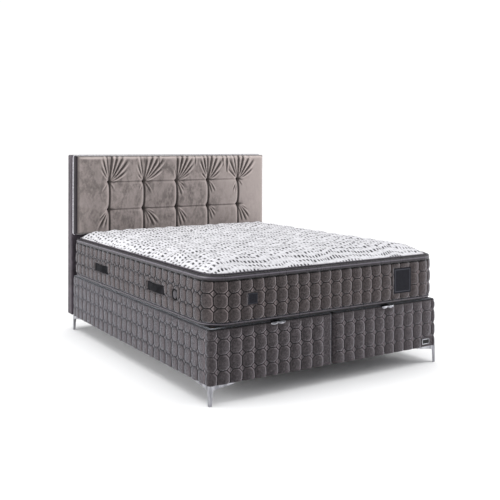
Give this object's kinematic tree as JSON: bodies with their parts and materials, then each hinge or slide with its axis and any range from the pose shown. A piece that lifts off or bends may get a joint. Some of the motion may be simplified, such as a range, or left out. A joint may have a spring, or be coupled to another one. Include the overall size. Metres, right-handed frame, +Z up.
{
  "type": "storage boxspring bed",
  "caption": "Double storage bed with quilted box bases on metal corner legs, a lift-up slatted lid under one thick mattress, and a tufted headboard.",
  "frame": {"origin": "on the floor, under the middle of the whole bed from handle fronts to headboard back", "axes": "+X across the bed, +Y towards the headboard, +Z up"},
  "size_m": [1.62, 2.1144, 1.262],
  "materials": {
    "quilted_velour": "matte quilted",
    "chipboard": "matte",
    "beech": "satin",
    "chrome": "polished",
    "zinc_plated_steel": "satin",
    "black_plastic": "matte",
    "taupe_velvet": "matte",
    "satin_tape": "satin",
    "white_knit": "matte",
    "foam": "matte",
    "label_cloth": "matte"
  },
  "bodies": {
    "base": {"base_cover_left": "quilted_velour", "side_panel_left": "chipboard", "divider_panel_left": "chipboard", "foot_panel_left": "chipboard", "head_panel_left": "chipboard", "floor_panel_left": "chipboard", "corner_leg_front_left": "chrome", "corner_leg_rear_left": "chrome", "lid_cleat_left": "beech", "base_cover_right": "quilted_velour", "side_panel_right": "chipboard", "divider_panel_right": "chipboard", "foot_panel_right": "chipboard", "head_panel_right": "chipboard", "floor_panel_right": "chipboard", "corner_leg_front_right": "chrome", "corner_leg_rear_right": "chrome", "lid_cleat_right": "beech", "centre_leg_front": "black_plastic", "centre_leg_middle": "black_plastic", "centre_leg_rear": "black_plastic", "headboard_panel": "taupe_velvet", "headboard_cushion": "taupe_velvet", "headboard_piping": "satin_tape", "plate_frame": "chrome", "plate_inlay": "black_plastic", "guide_plate_left_outer": "zinc_plated_steel", "guide_plate_left_inner": "zinc_plated_steel", "guide_plate_right_outer": "zinc_plated_steel", "guide_plate_right_inner": "zinc_plated_steel"},
    "lift_arms": {"lift_arm_left_outer": "zinc_plated_steel", "lift_arm_left_inner": "zinc_plated_steel", "lift_arm_right_outer": "zinc_plated_steel", "lift_arm_right_inner": "zinc_plated_steel"},
    "lids": {"lid_frame_left": "beech", "lid_frame_right": "beech", "carrier_plate_left_outer": "zinc_plated_steel", "carrier_plate_left_inner": "zinc_plated_steel", "carrier_plate_right_outer": "zinc_plated_steel", "carrier_plate_right_inner": "zinc_plated_steel", "handle_left": "chrome", "handle_right": "chrome", "mattress_core": "foam", "mattress_border": "quilted_velour", "piping_bottom": "satin_tape", "piping_top": "satin_tape", "edge_binding": "satin_tape", "pillow_top": "white_knit", "label_small": "label_cloth", "label_large": "label_cloth"},
    "strut_cylinders": {"strut_cylinder_left_outer": "black_plastic", "strut_cylinder_left_inner": "black_plastic", "strut_cylinder_right_outer": "black_plastic", "strut_cylinder_right_inner": "black_plastic"},
    "strut_rods": {"strut_rod_left_outer": "chrome", "strut_rod_left_inner": "chrome", "strut_rod_right_outer": "chrome", "strut_rod_right_inner": "chrome"}
  },
  "joints": [
    {"name": "lift", "type": "hinge", "parent": "base", "child": "lift_arms", "pos_m": [0, 0.10285, 0.16], "axis": [1, 0, 0], "range_deg": [0, 35.35]},
    {"name": "lid_tilt", "type": "hinge", "parent": "lift_arms", "child": "lids", "pos_m": [0, 0.54445, 0.37], "axis": [-1, 0, 0], "range_deg": [0, 65.36]},
    {"name": "strut_swing", "type": "hinge", "parent": "base", "child": "strut_cylinders", "pos_m": [0, 0.40835, 0.15], "axis": [1, 0, 0], "range_deg": [0, 6.74]},
    {"name": "strut_stroke", "type": "slide", "parent": "strut_cylinders", "child": "strut_rods", "axis": [0, -0.712, 0.7022], "range_m": [0, 0.1205]}
  ],
  "couplings": [
    {"joint": "lid_tilt", "follows": "lift", "ratio": 1.8488},
    {"joint": "strut_swing", "follows": "lift", "ratio": 0.1904},
    {"joint": "strut_stroke", "follows": "lift", "m_per_rad": 0.1952}
  ]
}
